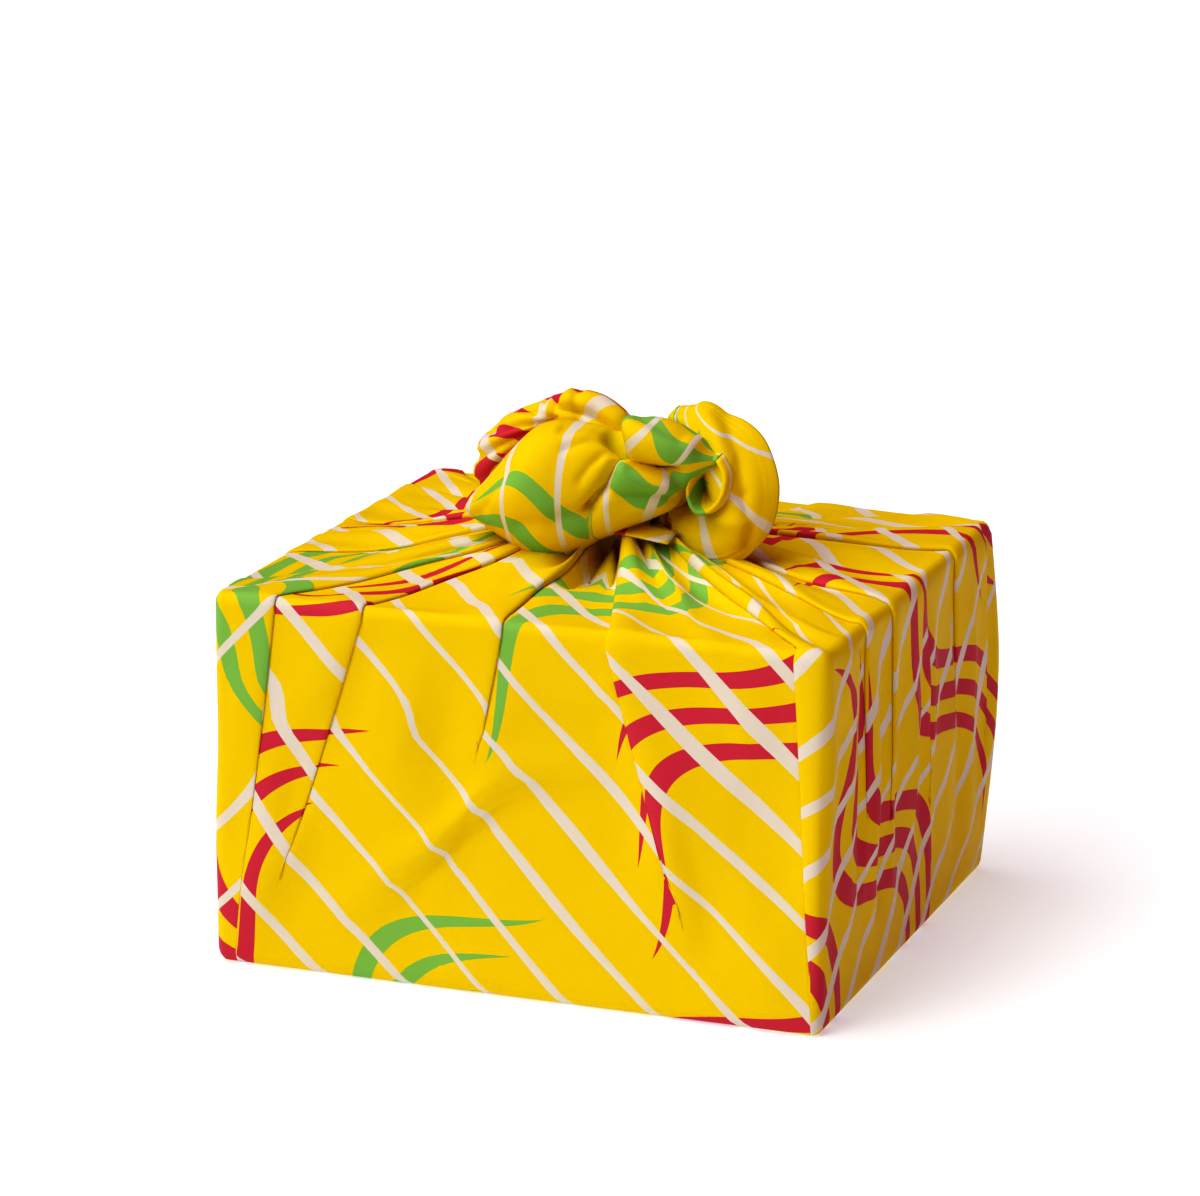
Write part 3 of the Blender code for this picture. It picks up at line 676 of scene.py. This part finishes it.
# The right ear, in lines from the hollow beside the knot over its crest to its hem, clockwise from the top.
RIGHT_EAR = (
    # start, fall, crest, swell, hem
    ((16, 2, 156), (17, -2, 162), (19, -4, 168), (19.5, -1, 169), (20, 3, 169.5)),
    ((20, 0, 154), (23, -4, 161), (26, -7, 166.5), (28, -4, 169.5), (29, 2, 170.5)),
    ((24, -1, 152), (28, -7, 158), (31, -12, 163.5), (36, -8, 168), (39, -1, 170)),
    ((26, -2, 150), (31, -9, 154), (35, -15.5, 159), (43, -12, 163), (49, -4, 165)),
    ((27, -3, 148), (33, -10, 150), (37.5, -17.5, 154), (47, -15, 156), (54.5, -7, 158)),
    ((28, -4, 146.5), (34, -11, 147), (40, -19, 149), (49.5, -17.5, 149.5), (57.5, -10, 149.5)),
    ((28, -6, 145), (35, -13, 144), (42.5, -20.5, 144), (50, -20, 142), (57, -13, 140)),
    ((28, -8, 143.5), (35, -15, 141.5), (43.5, -21.5, 138.5), (49, -22, 135), (53.5, -17, 132.5)),
    ((27, -10, 142), (33, -16, 139), (39.5, -21.5, 135), (43.5, -22.5, 130.5), (47, -20, 127)),
    ((26, -12, 141), (30, -16.5, 138), (34.5, -20.5, 134), (37.5, -22, 129.5), (40, -20, 125.5)),
    ((24, -13, 140.5), (27, -16.5, 137.5), (29.5, -19, 134), (31, -20, 130.5), (32, -19, 127.5)),
    ((22, -13, 140), (24, -15.5, 138), (25, -17, 135.5), (25.5, -17.5, 133.5), (26, -17, 131.5)),
)

# Folds pressed into the knot's bights, each a way of points seen from the front.
BIGHT_FOLDS = (
    # width, out, way (x, z)
    (1.8, -4.8, ((7.0, 167.0), (11.0, 160.5), (8.8, 151.8), (4.0, 144.0))),
    (2.4, -1.4, ((4.5, 144.0), (-7.0, 139.8), (-18.0, 138.0))),
    (2.3, -8.5, ((8.5, 166.0), (12.8, 162.5), (17.0, 159.3), (22.0, 157.4), (28.5, 155.8))),
    (1.6, -1.8, ((28.5, 155.8), (29.0, 149.0))),
    (3.3, 3.0, ((12.0, 168.0), (19.0, 166.8), (27.0, 163.4), (31.0, 162.0))),
    (1.2, -1.2, ((13.0, 170.5), (20.0, 169.0), (29.0, 164.6))),
    (2.5, 2.2, ((13.5, 158.0), (16.0, 154.6), (23.0, 152.0), (28.0, 151.0))),
    (1.7, -1.9, ((10.0, 149.5), (15.0, 147.4), (26.0, 147.6))),
    (2.8, 1.4, ((-6.0, 133.0), (4.0, 136.5), (12.0, 140.0), (24.0, 144.6))),
    (1.1, -1.2, ((7.0, 165.5), (0.0, 167.8), (-8.0, 167.0))),
    (1.2, -1.2, ((8.0, 164.0), (1.0, 164.2), (-5.0, 162.0))),
    (1.4, -1.0, ((8.5, 162.0), (4.0, 158.0), (1.0, 153.0))),
    (2.0, -0.8, ((-22.0, 154.0), (-33.0, 139.0))),
    (2.4, -0.6, ((-29.0, 141.0), (-22.0, 134.0))),
    (6.0, 0.8, ((-14.0, 160.0), (-18.0, 148.0))),
)
BACK_FOLDS = (
    # width, out, way (x, z)
    (1.5, -4.4, ((-23.0, 175.0), (-22.5, 168.0), (-20.0, 160.0))),
    (1.2, -1.6, ((-28.0, 171.0), (-24.0, 162.0))),
    (1.5, -1.4, ((-15.0, 173.0), (-12.0, 163.0))),
    (1.3, -2.4, ((-23.0, 163.0), (-30.0, 166.0), (-37.0, 165.0))),
    (1.3, -2.4, ((-23.0, 162.0), (-34.0, 160.5), (-46.0, 157.0))),
    (1.4, -2.4, ((-24.0, 160.0), (-38.0, 154.0), (-51.0, 147.0))),
    (1.5, -2.2, ((-25.0, 157.0), (-38.0, 147.0), (-50.0, 137.0))),
    (1.2, -2.6, ((-19.0, 167.5), (-8.0, 165.8), (3.0, 161.0))),
    (2.4, 1.2, ((-17.0, 171.0), (-6.0, 170.0), (1.0, 166.0))),
)
EAR_FOLDS = (
    # width, out, way (x, z)
    (2.4, 1.5, ((29.0, 171.0), (37.0, 166.0), (42.5, 158.0), (44.0, 150.0))),
    (2.6, -1.4, ((37.0, 171.0), (45.0, 161.0), (48.0, 150.0))),
    (1.8, -1.4, ((49.0, 148.0), (51.5, 140.0), (51.0, 133.0))),
    (2.6, 1.5, ((40.0, 141.0), (50.0, 139.5))),
    (2.0, -0.5, ((36.0, 138.0), (48.0, 131.0))),
)

# The mouth between the band and the right ear: its rim, and how the cloth goes in from there.
MOUTH_RIM = (
    # x, y, z
    (40.5, -19.5, 159.4),
    (43.6, -21.5, 154.5),
    (43.2, -23.5, 148.5),
    (39.8, -24.5, 144.0),
    (34.8, -24.5, 143.6),
    (31.8, -22.5, 148.8),
    (33.0, -20.5, 154.2),
    (36.8, -19.0, 158.2),
)
MOUTH_HEART = (35.0, -9.0, 150.0)
MOUTH_RINGS = (
    # share of the way in, share of the way back
    (-0.16, 0.60),
    (-0.13, 0.28),
    (-0.07, 0.06),
    (0.0, -0.03),
    (0.06, 0.05),
    (0.11, 0.24),
    (0.22, 0.52),
    (0.48, 0.82),
    (0.80, 1.0),
    (0.97, 1.05),
)
BAND_GRID = (96, 64)
BACK_GRID = (80, 56)
EAR_GRID = (72, 56)
MOUTH_GRID = (26, 33)
HEM_WIDTH = 4.5
HEM_STEP = 0.45
HEM_GROOVE = 0.35

# Where the knot's pieces lie on the flat square, and how they are turned there.
BAND_START = (-79.0, -81.0)
BACK_START = (330.0, 20.0)
EAR_START = (286.3, 135.3)
MOUTH_START = (182.3, 230.3)
WARP = 45  # degrees; the stripes run along it
BACK_TURN = 60
BAND_SLANT = 0.7  # towards the mouth the band is drawn down, which slants its print
PINCH_TAKES = 53.0  # the length of cloth that the band's first fold swallows
EAR_HEART = (18.0, 176.0)  # the ear's stripes fan out from here, seen from the front
EAR_REACH = 60.0


def resample(points, count):
    """Points on a smooth curve through the given ones; each may itself be a line of points."""
    points = np.asarray(points, float)
    ends = (2 * points[:1] - points[1:2], points, 2 * points[-1:] - points[-2:-1])
    padded = np.concatenate(ends)
    at = np.linspace(0, len(points) - 1, count)
    low = np.minimum(at.astype(int), len(points) - 2)
    share = (at - low).reshape(-1, *[1] * (points.ndim - 1))
    first, second, third, fourth = (padded[low + step] for step in range(4))
    bend = (2 * first - 5 * second + 4 * third - fourth) * share**2
    sway = (3 * second - first - 3 * third + fourth) * share**3
    return 0.5 * (2 * second + (third - first) * share + bend + sway)


def refine(grid, lines, places):
    """A finer grid through a coarse one."""
    grid = resample(grid, lines)
    return resample(grid.swapaxes(0, 1), places).swapaxes(0, 1)


def outward_of(grid):
    """The normal of a grid at each point."""
    normal = np.cross(np.gradient(grid, axis=1), np.gradient(grid, axis=0))
    length = np.linalg.norm(normal, axis=-1, keepdims=True)
    return normal / np.maximum(length, 1e-9)


def lay_square(grid, origin, turn, middle=0.5):
    """Where the points of a bent sheet lie on the flat square: lengths along and across, turned and moved."""
    across_steps = np.linalg.norm(np.diff(grid, axis=1), axis=-1).mean(axis=0)
    along_steps = np.linalg.norm(np.diff(grid, axis=0), axis=-1).mean(axis=1)
    across = np.concatenate(([0], np.cumsum(across_steps)))
    along = np.concatenate(([0], np.cumsum(along_steps)))
    across -= across[-1] * middle
    wide, long = np.meshgrid(across, along)
    angle = math.radians(turn)
    first = origin[0] + wide * math.cos(angle) - long * math.sin(angle)
    second = origin[1] + wide * math.sin(angle) + long * math.cos(angle)
    return np.stack((first, second), axis=-1)


def front_bight():
    """The band in front and the left ear that it opens into."""
    grid = []
    for x, front, back, top, low, first, last in resample(FRONT_BIGHT, BAND_GRID[0]):
        turn = np.radians(first + (last - first) * np.linspace(0, 1, BAND_GRID[1]))
        line_y = (front + back) / 2 - (back - front) / 2 * np.cos(turn)
        line_z = (top + low) / 2 + (top - low) / 2 * np.sin(turn)
        grid.append(np.column_stack((np.full(BAND_GRID[1], x), line_y, line_z)))
    return np.array(grid)


def twist(stations, lines, sides, ridges, depth, twisting):
    """A gathered length of cloth: ridged ovals along a line of stations."""
    table = resample(stations, lines)
    points = table[:, :3]
    along = np.gradient(points, axis=0)
    along /= np.linalg.norm(along, axis=1)[:, None]
    across = np.cross(along, (0, 1, 0.2))
    across /= np.linalg.norm(across, axis=1)[:, None]
    other = np.cross(along, across)
    turn = np.linspace(0, 2 * math.pi, sides + 1)
    station = np.linspace(0, len(stations) - 1, lines)[:, None]
    ridge = 1 + depth * np.cos(ridges * turn[None] + twisting * station)
    wide = across[:, None] * (np.cos(turn) * table[:, 3:4] * ridge)[..., None]
    deep = other[:, None] * (np.sin(turn) * table[:, 4:5] * ridge)[..., None]
    return points[:, None] + wide + deep


def press(grid, table):
    """Press a table of folds into the side of a grid that faces the front."""
    normal = outward_of(grid)
    if normal[..., 1].mean() > 0:
        normal = -normal
    out = np.zeros(grid.shape[:2])
    spot = grid[..., (0, 2)]
    for width, depth, way in table:
        away = np.full(out.shape, np.inf)
        for start, end in zip(np.array(way[:-1]), np.array(way[1:])):
            run = end - start
            share = np.clip(((spot - start) @ run) / (run @ run), 0, 1)
            away = np.minimum(away, np.linalg.norm(spot - start - share[..., None] * run, axis=-1))
        out += depth * np.exp(-((away / width) ** 2))
    out *= smooth((0.35 - normal[..., 1]) * 2)
    return grid + normal * out[..., None]


def fold_hem(grid, amount=1.0):
    """Stand the last stretch of every line proud, as the hem folded under and stitched down."""
    normal = outward_of(grid)
    if normal[..., 1].mean() > 0:
        normal = -normal
    steps = np.linalg.norm(np.diff(grid, axis=1), axis=-1)
    left = np.concatenate((np.cumsum(steps[:, ::-1], axis=1)[:, ::-1], np.zeros((len(grid), 1))), axis=1)
    step = HEM_STEP * smooth(HEM_WIDTH + 0.5 - left)
    stitched = -HEM_GROOVE * np.exp(-(((left - HEM_WIDTH + 0.9) / 0.5) ** 2))
    return grid + normal * ((step + stitched) * amount)[..., None]


def fan_on(grid, origin, heart, reach):
    """Where a sheet gathered at one point lies on the flat square: its stripes fan out from there."""
    step = grid[..., (0, 2)] - np.array(heart)
    wide = np.linalg.norm(step, axis=-1)
    long = -np.arctan2(step[..., 1], step[..., 0]) * reach
    first = origin[0] + (wide - long) * math.sqrt(0.5)
    second = origin[1] + (wide + long) * math.sqrt(0.5)
    return np.stack((first, second), axis=-1)


bight = press(front_bight(), BIGHT_FOLDS)
station_x = bight[:, :1, 0]
bight_square = lay_square(bight, BAND_START, WARP)
slant = BAND_SLANT * smooth((station_x - 2) / 18) * (bight[..., 2] - 150)
pinch = np.array(BIGHT_FOLDS[0][2][::-1])
past_pinch = bight[..., 0] - np.interp(bight[..., 2], pinch[:, 1], pinch[:, 0])
taken = PINCH_TAKES * smooth(past_pinch / 2 + 0.5)
bight_square += np.stack((taken - slant, taken + slant), axis=-1) * math.sqrt(0.5)
add_grid(fold_hem(bight, smooth((-station_x - 8) / 8)), bight_square)
behind = press(twist(BACK_BIGHT, *BACK_GRID, ridges=3, depth=0.04, twisting=0.7), BACK_FOLDS)
add_grid(behind, lay_square(behind, BACK_START, BACK_TURN))
ear = press(refine(np.array(RIGHT_EAR, float), *EAR_GRID), EAR_FOLDS)
add_grid(fold_hem(ear), fan_on(ear, EAR_START, EAR_HEART, EAR_REACH))
rim = resample(MOUTH_RIM + MOUTH_RIM[:1], MOUTH_GRID[1])
mouth = []
for inward, back in MOUTH_RINGS:
    ring = rim + (np.array(MOUTH_HEART) - rim) * (inward, 0, inward)
    ring[:, 1] = rim[:, 1] + (MOUTH_HEART[1] - rim[:, 1]) * back
    mouth.append(ring)
mouth = resample(np.array(mouth), MOUTH_GRID[0])
add_grid(mouth, lay_square(mouth, MOUTH_START, WARP, middle=0))

# The heart of the knot, a lump with shallow folds, and the folded tip of cloth under it.
CORE_PLACE = (-3.5, -2.0, 146.5)
CORE_RADII = (34.0, 14.0, 14.0)
CORE_FOLDS = 0.05
CORE_START = (280.0, 0.0)
CORE_GRID = (20, 49)
around = np.linspace(0, 2 * math.pi, CORE_GRID[1])
turn, rise = np.meshgrid(around, np.linspace(-math.pi / 2, math.pi / 2, CORE_GRID[0]))
lump = np.stack((np.cos(turn) * np.cos(rise), np.sin(turn) * np.cos(rise), np.sin(rise)), axis=-1)
lump *= 1 + CORE_FOLDS * np.cos(7 * turn + 3 * rise)[..., None]
core = np.array(CORE_PLACE) + lump * CORE_RADII
add_grid(core, lay_square(core, CORE_START, 0))

TAB_PLACE = np.array((18.0, -24.0, 135.5))
TAB_SIZE = (20.0, 9.0)
TAB_START = (300, 60)
TAB_GRID = (8, 12)
across, along = np.meshgrid(np.linspace(-0.5, 0.5, TAB_GRID[1]), np.linspace(-0.5, 0.5, TAB_GRID[0]))
tab = np.stack((across * TAB_SIZE[0], along * TAB_SIZE[1] - across * 3, 2.0 * along - 1.5 * across), axis=-1)
add_grid(tab + TAB_PLACE, np.stack((TAB_START[0] + across * 20, TAB_START[1] + along * 10), axis=-1))

cloth_mesh = bpy.data.meshes.new("cloth")
cloth_mesh.from_pydata((np.concatenate(sheet_points) * MM).tolist(), [], sheet_faces)
layer = cloth_mesh.uv_layers.new(name="flat_square")
corner_vertices = np.zeros(len(cloth_mesh.loops), dtype=np.int32)
cloth_mesh.loops.foreach_get("vertex_index", corner_vertices)
layer.data.foreach_set("uv", (np.concatenate(sheet_square) * MM)[corner_vertices].ravel())
cloth_mesh.update()
cloth = bpy.data.objects.new("cloth_wrap", cloth_mesh)
bpy.context.scene.collection.objects.link(cloth)
cloth_mesh.shade_smooth()
thickness = cloth.modifiers.new("thread", "SOLIDIFY")
thickness.thickness = THREAD * MM
thickness.offset = -1.0


def maths(operation, first, second=None, third=None):
    """A math node on sockets or numbers; gives its output."""
    made = nodes.new("ShaderNodeMath")
    made.operation = operation
    for slot, value in enumerate((first, second, third)):
        if value is None:
            continue
        if isinstance(value, (int, float)):
            made.inputs[slot].default_value = value
        else:
            links.new(value, made.inputs[slot])
    return made.outputs[0]


def edge(value, middle, softness):
    """1 where a value is under middle, 0 over it, with a soft change."""
    made = nodes.new("ShaderNodeMapRange")
    made.interpolation_type = "SMOOTHSTEP"
    links.new(value, made.inputs["Value"])
    made.inputs["From Min"].default_value = middle - softness
    made.inputs["From Max"].default_value = middle + softness
    made.inputs["To Min"].default_value = 1.0
    made.inputs["To Max"].default_value = 0.0
    return made.outputs["Result"]


def paint(below, above, mask):
    """One colour over another by a mask."""
    made = nodes.new("ShaderNodeMix")
    made.data_type = "RGBA"
    links.new(mask, made.inputs["Factor"])
    for socket, value in (("A", below), ("B", above)):
        spot = [item for item in made.inputs if item.name == socket and item.type == "RGBA"][0]
        if isinstance(value, tuple):
            spot.default_value = value
        else:
            links.new(value, spot)
    return [item for item in made.outputs if item.type == "RGBA"][0]


# The print and the weave. The print's sizes are in metres on the flat square.
YELLOW = (0.85, 0.63, 0.003, 1)
WORN_YELLOW = (0.83, 0.59, 0.002, 1)
WHITE = (0.77, 0.705, 0.615, 1)
CRIMSON = (0.62, 0.060, 0.105, 1)
GREEN = (0.28, 0.54, 0.13, 1)
STRIPE_PITCH = 0.0196
STRIPE_HALF = 0.0017
STRIPE_VARIES = 0.0036
PRINT_WANDER = 0.009
PRINT_EDGE = 0.00012
STREAM_PITCH = 0.078
STREAM_START = 0.192
WAVE_LENGTH = 0.12
WAVE_SWAY = 0.016
RIBBON_PITCH = 0.0142
RIBBON_HALF = 0.0036
STROKE_PITCH = 0.24
STROKE_SHARE = 0.78
STROKE_STAGGER = 0.07
# The streams come in this order and then again: how far on its wave is, where its strokes start, in shares of
# their pitch, and which stroke of each three is green.
STREAMS = (
    # wave, start, green
    (2.4, 0.58, 1),
    (2.4, 0.58, 0),
    (0.0, 0.92, 2),
    (3.1, 0.02, 2),
    (4.7, 0.06, 1),
    (1.0, 0.88, 0),
    (4.7, 0.67, 0),
    (2.2, 0.79, 0),
)

sateen, nodes, links, shader = new_material("printed_cotton_sateen")
flat = nodes.new("ShaderNodeUVMap")
flat.uv_map = "flat_square"
on_cloth = flat.outputs["UV"]
split = nodes.new("ShaderNodeSeparateXYZ")
links.new(on_cloth, split.inputs["Vector"])
u, v = split.outputs["X"], split.outputs["Y"]
wobble = maths("MULTIPLY", maths("SUBTRACT", noise(on_cloth, 9.0, 1.0), 0.5), PRINT_WANDER)
root_half = math.sqrt(0.5)
across = maths("MULTIPLY", maths("SUBTRACT", u, v), root_half)
along = maths("MULTIPLY", maths("ADD", u, v), root_half)
stripe_at = maths("DIVIDE", maths("ADD", across, wobble), STRIPE_PITCH)
from_stripe = maths("MULTIPLY", maths("PINGPONG", stripe_at, 0.5), STRIPE_PITCH)
broader = maths("SUBTRACT", noise(on_cloth, 14.0, 0.0), 0.5)
half = maths("MULTIPLY_ADD", broader, STRIPE_VARIES, STRIPE_HALF)
stripe = edge(maths("SUBTRACT", from_stripe, half), 0.0, PRINT_EDGE)

# Streams of three wavy ribbons, drawn with a brush in crimson or green.
stream_at = maths("DIVIDE", maths("ADD", along, STREAM_START), STREAM_PITCH)
stream = maths("FLOOR", stream_at)
stream_local = maths("MULTIPLY", maths("SUBTRACT", maths("SUBTRACT", stream_at, stream), 0.5), STREAM_PITCH)
kind = maths("FLOORED_MODULO", stream, float(len(STREAMS)))
wave, start, green = 0.0, 0.0, 0.0
for number, (wave_here, start_here, green_here) in enumerate(STREAMS):
    mine = maths("COMPARE", kind, float(number), 0.5)
    wave = maths("MULTIPLY_ADD", mine, wave_here, wave)
    start = maths("MULTIPLY_ADD", mine, start_here, start)
    green = maths("MULTIPLY_ADD", mine, float(green_here), green)
wave_turn = maths("MULTIPLY_ADD", across, 2 * math.pi / WAVE_LENGTH, wave)
aside = maths("SUBTRACT", stream_local, maths("MULTIPLY", maths("SINE", wave_turn), WAVE_SWAY))
ribbon_at = maths("MULTIPLY_ADD", aside, 1 / RIBBON_PITCH, 0.5)
ribbon = maths("FLOOR", ribbon_at)
off_middle = maths("ABSOLUTE", maths("SUBTRACT", maths("SUBTRACT", ribbon_at, ribbon), 0.5))
from_ribbon = maths("MULTIPLY", off_middle, RIBBON_PITCH)
stroke_at = maths("MULTIPLY_ADD", across, 1 / STROKE_PITCH, start)
stroke_at = maths("ADD", stroke_at, maths("MULTIPLY", ribbon, STROKE_STAGGER))
stroke = maths("FLOOR", stroke_at)
from_middle = maths("ABSOLUTE", maths("SUBTRACT", maths("SUBTRACT", stroke_at, stroke), 0.5))
taper = maths("DIVIDE", from_middle, STROKE_SHARE / 2)
body = maths("MULTIPLY_ADD", maths("POWER", taper, 4.0), -RIBBON_HALF, RIBBON_HALF)
body = maths("ADD", body, maths("MULTIPLY", wobble, 0.25))
ribbons = edge(maths("SUBTRACT", from_ribbon, body), 0.0, PRINT_EDGE)
ribbons = maths("MULTIPLY", ribbons, edge(maths("ABSOLUTE", ribbon), 1.5, 0.01))
ink = maths("FLOORED_MODULO", stroke, 3.0)
red_or_green = edge(maths("ABSOLUTE", maths("SUBTRACT", ink, green)), 0.5, 0.001)

ground = paint(YELLOW, WORN_YELLOW, maths("MULTIPLY", noise(on_cloth, 30.0, 4.0), 0.5))
motif = paint(CRIMSON, GREEN, red_or_green)
colour = paint(ground, motif, ribbons)
colour = paint(colour, WHITE, stripe)
links.new(colour, shader.inputs["Base Color"])

# Sateen: long floats one way give a soft sheen, with fine threads both ways.
threads = nodes.new("ShaderNodeTexWave")
threads.wave_type = "BANDS"
threads.bands_direction = "DIAGONAL"
threads.inputs["Scale"].default_value = 900.0
threads.inputs["Distortion"].default_value = 0.6
links.new(on_cloth, threads.inputs["Vector"])
slubs = noise(on_cloth, 420.0, 3.0)
weave = bump(maths("ADD", threads.outputs["Fac"], slubs), 0.12, 0.00015)
crumple = bump(noise(on_cloth, 42.0, 3.0), 0.35, 0.0012, under=weave)
links.new(crumple, shader.inputs["Normal"])
links.new(maths("MULTIPLY_ADD", slubs, 0.15, 0.42), shader.inputs["Roughness"])
shader.inputs["Specular IOR Level"].default_value = 0.1
shader.inputs["Specular Tint"].default_value = (1.0, 0.75, 0.3, 1)
shader.inputs["Sheen Weight"].default_value = 0.01
shader.inputs["Sheen Roughness"].default_value = 0.4
shader.inputs["Sheen Tint"].default_value = (1.0, 0.93, 0.7, 1)
cloth_mesh.materials.append(sateen)

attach(cloth, "root")
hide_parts("furoshiki_cloth")


# ---------------------------------------------------------------------------------------------------------
# Studio: a pale floor that gives a little light of its own, as a lit white table does, two broad soft suns
# from the upper left, a faint warm fill from all round, and the camera at the photograph's viewing angle.

FLOOR_TONE = (0.58, 0.61, 0.61, 1)
FLOOR_GLOW = (0.88, 0.89, 0.95, 1)
FLOOR_REACH = 20
FILL_TONE = (1.0, 0.02, 0.12, 1)
floor_mesh = bpy.data.meshes.new("floor")
floor_corners = [(FLOOR_REACH * x, FLOOR_REACH * y, 0) for x, y in ((-1, -1), (1, -1), (1, 1), (-1, 1))]
floor_mesh.from_pydata(floor_corners, [], [(0, 1, 2, 3)])
floor = bpy.data.objects.new("floor", floor_mesh)
bpy.context.scene.collection.objects.link(floor)
pale, nodes, links, shader = new_material("pale_floor")
shader.inputs["Base Color"].default_value = FLOOR_TONE
shader.inputs["Roughness"].default_value = 0.9
shader.inputs["Emission Color"].default_value = FLOOR_GLOW
shader.inputs["Emission Strength"].default_value = 0.34
floor_mesh.materials.append(pale)

LIGHTS = (
    # name, from, softness in degrees, strength, colour
    ("window", (-0.42, -0.76, 0.62), 36, 0.90, (0.88, 1.0, 0.93)),
    ("ceiling", (-0.30, -0.10, 1.0), 50, 1.42, (0.91, 1.0, 0.95)),
)
for name, place, softness, strength, tint in LIGHTS:
    lamp = bpy.data.lights.new(name, "SUN")
    lamp.angle = math.radians(softness)
    lamp.energy = strength
    lamp.color = tint
    holder = bpy.data.objects.new(name, lamp)
    holder.rotation_euler = Vector(place).to_track_quat("Z", "Y").to_euler()
    holder.location = place
    bpy.context.scene.collection.objects.link(holder)

world = bpy.data.worlds.new("studio")
world.use_nodes = True
fill = world.node_tree.nodes["Background"]
fill.inputs["Color"].default_value = FILL_TONE
fill.inputs["Strength"].default_value = 0.11
bpy.context.scene.world = world
bpy.context.scene.view_settings.view_transform = "Standard"
bpy.context.scene.view_settings.look = "Very High Contrast"

CAMERA_AZIMUTH = math.radians(19.716)
CAMERA_RISE = math.radians(14.657)
CAMERA_ROLL = math.radians(0.581)
CAMERA_PLACE = Vector((0.50958, -1.43583, 0.50459))
LENS = 147.3

back = Vector(
    (
        math.sin(CAMERA_AZIMUTH) * math.cos(CAMERA_RISE),
        -math.cos(CAMERA_AZIMUTH) * math.cos(CAMERA_RISE),
        math.sin(CAMERA_RISE),
    )
)
level_right = (-back).cross(Vector((0, 0, 1))).normalized()
level_up = level_right.cross(-back)
right = level_right * math.cos(CAMERA_ROLL) + level_up * math.sin(CAMERA_ROLL)
up = level_up * math.cos(CAMERA_ROLL) - level_right * math.sin(CAMERA_ROLL)
eye = bpy.data.cameras.new("camera")
eye.lens = LENS
eye.sensor_width = 36.0
camera = bpy.data.objects.new("camera", eye)
turn = Matrix((right, up, back)).transposed()
camera.matrix_world = Matrix.Translation(CAMERA_PLACE) @ turn.to_4x4()
bpy.context.scene.collection.objects.link(camera)
bpy.context.scene.camera = camera

bpy.context.view_layer.update()
